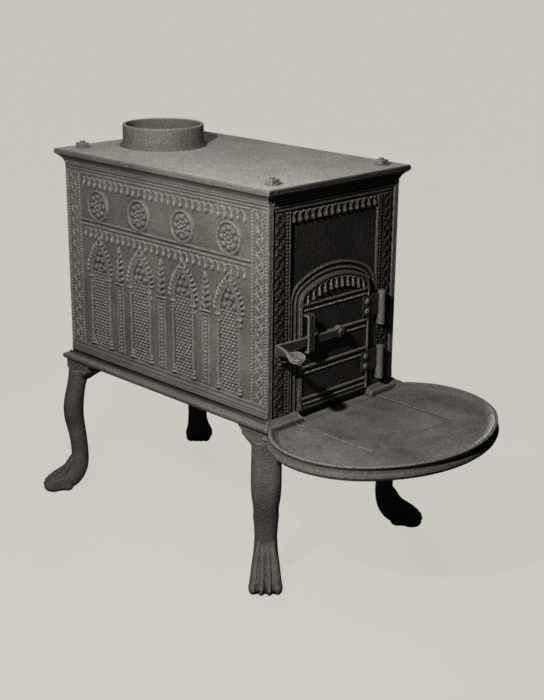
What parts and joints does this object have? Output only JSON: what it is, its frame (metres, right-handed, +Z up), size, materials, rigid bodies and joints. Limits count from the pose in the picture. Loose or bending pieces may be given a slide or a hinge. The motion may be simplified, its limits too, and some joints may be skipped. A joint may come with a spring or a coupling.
{
  "type": "cast iron box stove",
  "caption": "Cast iron wood-burning box stove on paw-footed cabriole legs, with Gothic relief on its sides, a latched arched fire door, a round hearth apron and a flue collar.",
  "frame": {"origin": "on the floor, under the middle of the stove's bounding box", "axes": "+Z up, -Y out of the fire door over the hearth, +X to the right as seen from the front"},
  "size_m": [0.489, 0.9763, 0.791],
  "materials": {
    "cast_iron": "rough, burnished by handling",
    "wrought_iron": "forged, worn smooth"
  },
  "bodies": {
    "stove": {"base_plate": "cast_iron", "top_plate": "cast_iron", "left_side_plate": "cast_iron", "right_side_plate": "cast_iron", "front_plate": "cast_iron", "back_plate": "cast_iron", "leg_front_left": "cast_iron", "leg_front_right": "cast_iron", "leg_back_left": "cast_iron", "leg_back_right": "cast_iron", "tie_rod_front_left": "wrought_iron", "tie_rod_front_right": "wrought_iron", "tie_rod_back_left": "wrought_iron", "tie_rod_back_right": "wrought_iron", "rod_washer_front_left": "wrought_iron", "rod_washer_front_right": "wrought_iron", "rod_washer_back_left": "wrought_iron", "rod_washer_back_right": "wrought_iron", "rod_nut_front_left": "wrought_iron", "rod_nut_front_right": "wrought_iron", "rod_nut_back_left": "wrought_iron", "rod_nut_back_right": "wrought_iron", "lower_hinge_lug": "cast_iron", "upper_hinge_lug": "cast_iron", "lower_hinge_pin": "wrought_iron", "upper_hinge_pin": "wrought_iron", "latch_catch": "wrought_iron", "catch_rivet": "wrought_iron"},
    "door": {"fire_door": "cast_iron", "lower_hinge_strap": "wrought_iron", "upper_hinge_strap": "wrought_iron", "lower_strap_rivet_low": "wrought_iron", "lower_strap_rivet_high": "wrought_iron", "upper_strap_rivet_low": "wrought_iron", "upper_strap_rivet_high": "wrought_iron", "latch_pivot": "wrought_iron", "latch_washer": "wrought_iron", "latch_guide": "wrought_iron"},
    "latch": {"latch_bar": "wrought_iron"}
  },
  "joints": [
    {"name": "door_hinge", "type": "hinge", "parent": "stove", "child": "door", "pos_m": [0.126, -0.17222, 0.424], "axis": [0, 0, 1], "range_deg": [0, 150]},
    {"name": "latch_turn", "type": "hinge", "parent": "door", "child": "latch", "pos_m": [0.005, -0.17682, 0.456], "axis": [0, 1, 0], "range_deg": [-4, 20]}
  ]
}
